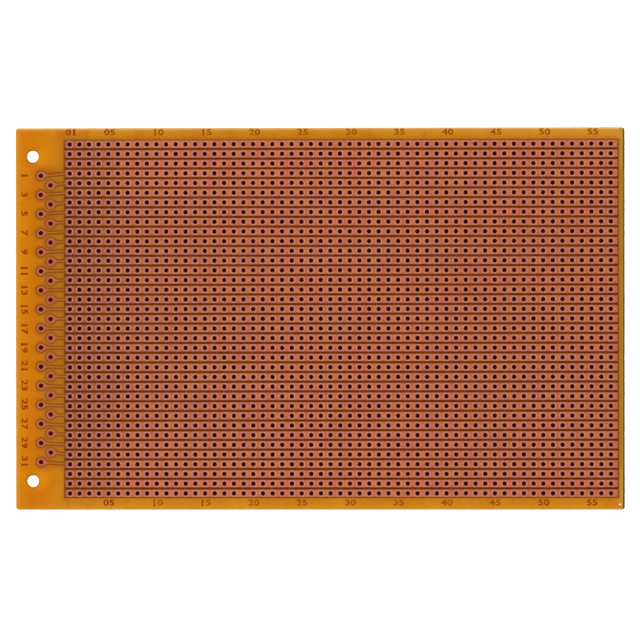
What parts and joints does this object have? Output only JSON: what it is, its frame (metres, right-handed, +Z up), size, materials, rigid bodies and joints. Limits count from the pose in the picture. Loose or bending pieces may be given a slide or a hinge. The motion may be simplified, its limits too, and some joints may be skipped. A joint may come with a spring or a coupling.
{
  "type": "prototype board",
  "caption": "Flat punched hard-paper prototype board with parallel copper strips, a fan-out to staggered connector pads at one end and two connector fixing holes.",
  "frame": {"origin": "middle of the underside, on the surface that the board lies on", "axes": "+X along the board from the connector end to the far end, +Y across it towards contact 1, +Z up out of the copper side"},
  "size_m": [0.16, 0.1, 0.0015],
  "materials": {
    "laminate": "amber phenolic hard paper with a smooth resin face, slightly translucent",
    "copper": "etched copper foil under a thin solderable lacquer, satin, pinkish"
  },
  "bodies": {
    "root": {"board": "laminate", "copper_strip_01": "copper", "copper_strip_02": "copper", "copper_strip_03": "copper", "copper_strip_04": "copper", "copper_strip_05": "copper", "copper_strip_06": "copper", "copper_strip_07": "copper", "copper_strip_08": "copper", "copper_strip_09": "copper", "copper_strip_10": "copper", "copper_strip_11": "copper", "copper_strip_12": "copper", "copper_strip_13": "copper", "copper_strip_14": "copper", "copper_strip_15": "copper", "copper_strip_16": "copper", "copper_strip_17": "copper", "copper_strip_18": "copper", "copper_strip_19": "copper", "copper_strip_20": "copper", "copper_strip_21": "copper", "copper_strip_22": "copper", "copper_strip_23": "copper", "copper_strip_24": "copper", "copper_strip_25": "copper", "copper_strip_26": "copper", "copper_strip_27": "copper", "copper_strip_28": "copper", "copper_strip_29": "copper", "copper_strip_30": "copper", "copper_strip_31": "copper", "copper_strip_32": "copper", "copper_strip_33": "copper", "copper_strip_34": "copper", "copper_strip_35": "copper", "copper_strip_36": "copper", "copper_strip_37": "copper"}
  },
  "joints": []
}
